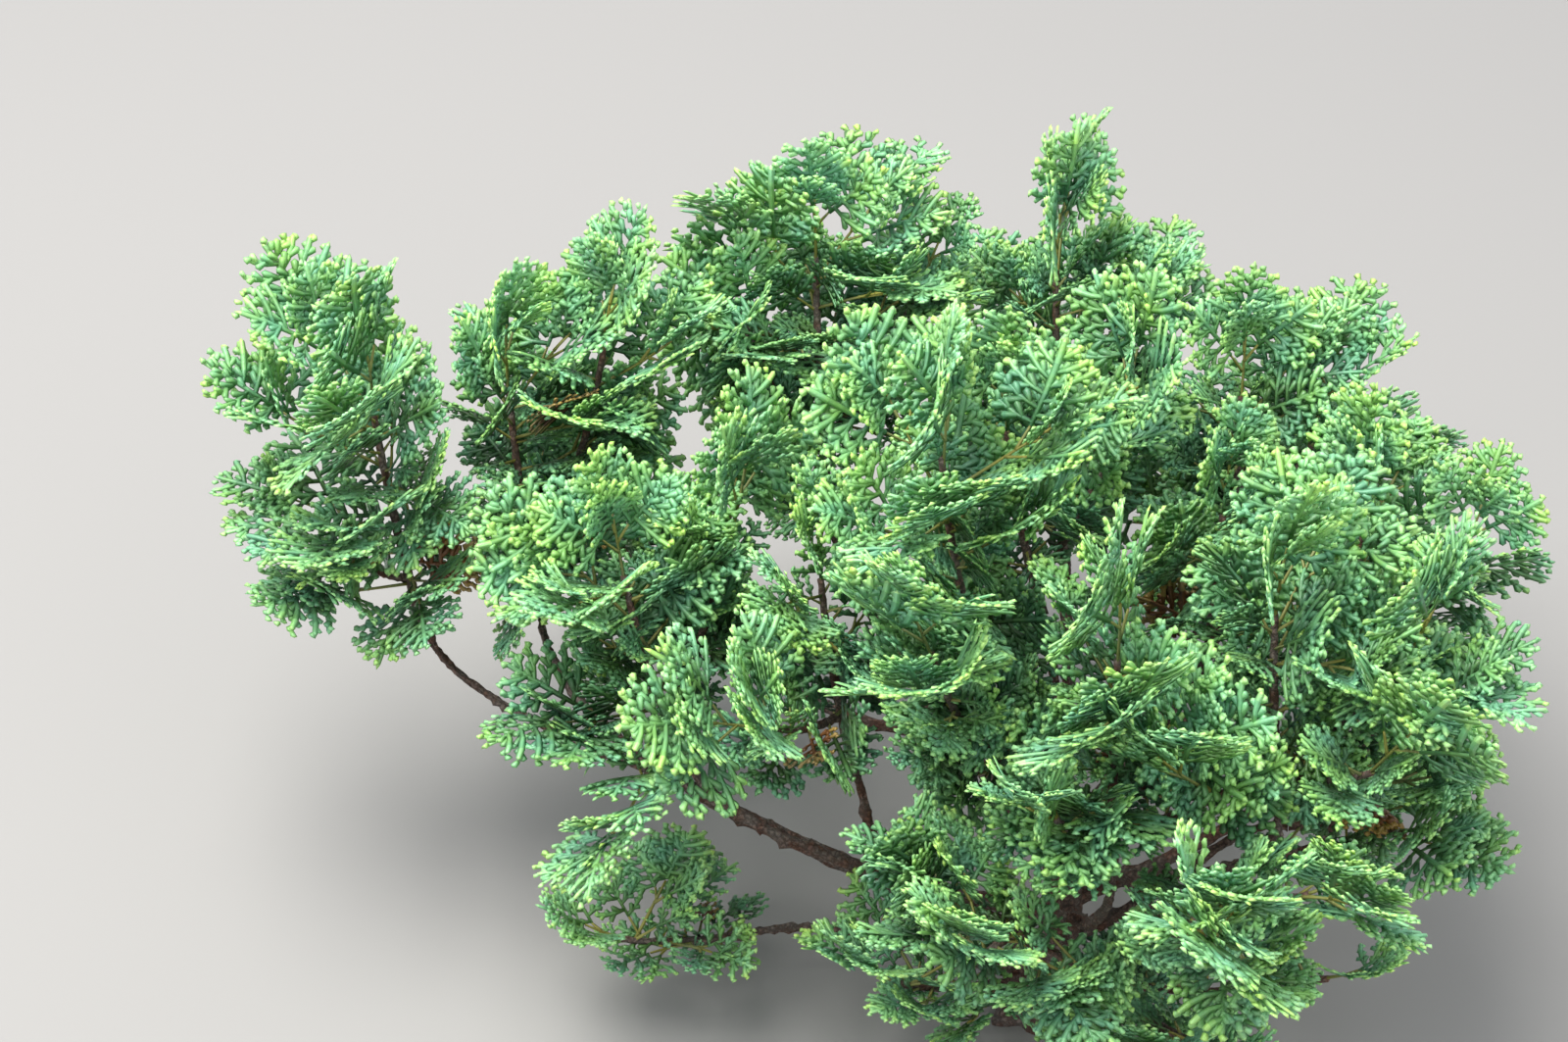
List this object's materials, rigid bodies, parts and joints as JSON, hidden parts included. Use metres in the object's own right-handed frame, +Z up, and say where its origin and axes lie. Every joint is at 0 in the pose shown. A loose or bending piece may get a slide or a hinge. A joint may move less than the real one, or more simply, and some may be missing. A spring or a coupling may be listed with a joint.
{
  "type": "dwarf hinoki cypress",
  "caption": "Low, wide dwarf conifer rooted in the ground, with tiers of shell-shaped scale-leaf sprays on slim bare boughs that spread from one short trunk",
  "frame": {"origin": "middle of the flat cut under the trunk, at ground level", "axes": "+X to the right and +Y to the back as the picture sees it, +Z up; the foliage reaches furthest along X"},
  "size_m": [0.4423, 0.4004, 0.2535],
  "materials": {
    "bark": "rough, finely scaled grey-brown bark",
    "foliage": "matt green scale leaves with brighter yellow-green tips"
  },
  "bodies": {
    "root": {"bough_back_left_low": "bark", "bough_back_left_top": "bark", "bough_back_right_low": "bark", "bough_back_right_top": "bark", "bough_centre_back": "bark", "bough_far_left": "bark", "bough_far_right": "bark", "bough_front_centre": "bark", "bough_front_low": "bark", "bough_front_right": "bark", "bough_front_right_tier": "bark", "bough_left_front": "bark", "bough_left_tall": "bark", "bough_low_front": "bark", "bough_low_left": "bark", "bough_low_right": "bark", "bough_middle": "bark", "bough_right_back": "bark", "bough_right_edge": "bark", "bough_right_low": "bark", "bough_right_middle": "bark", "trunk": "bark", "foliage_back_left_low": "foliage", "foliage_back_left_top": "foliage", "foliage_back_right_low": "foliage", "foliage_back_right_top": "foliage", "foliage_centre_back": "foliage", "foliage_centre_top": "foliage", "foliage_far_left": "foliage", "foliage_far_right": "foliage", "foliage_foot_left": "foliage", "foliage_foot_right": "foliage", "foliage_front_centre": "foliage", "foliage_front_low": "foliage", "foliage_front_right": "foliage", "foliage_front_right_tier": "foliage", "foliage_left_front": "foliage", "foliage_left_tall": "foliage", "foliage_low_front": "foliage", "foliage_low_left": "foliage", "foliage_low_right": "foliage", "foliage_middle": "foliage", "foliage_right_back": "foliage", "foliage_right_edge": "foliage", "foliage_right_low": "foliage", "foliage_right_middle": "foliage"}
  },
  "joints": []
}
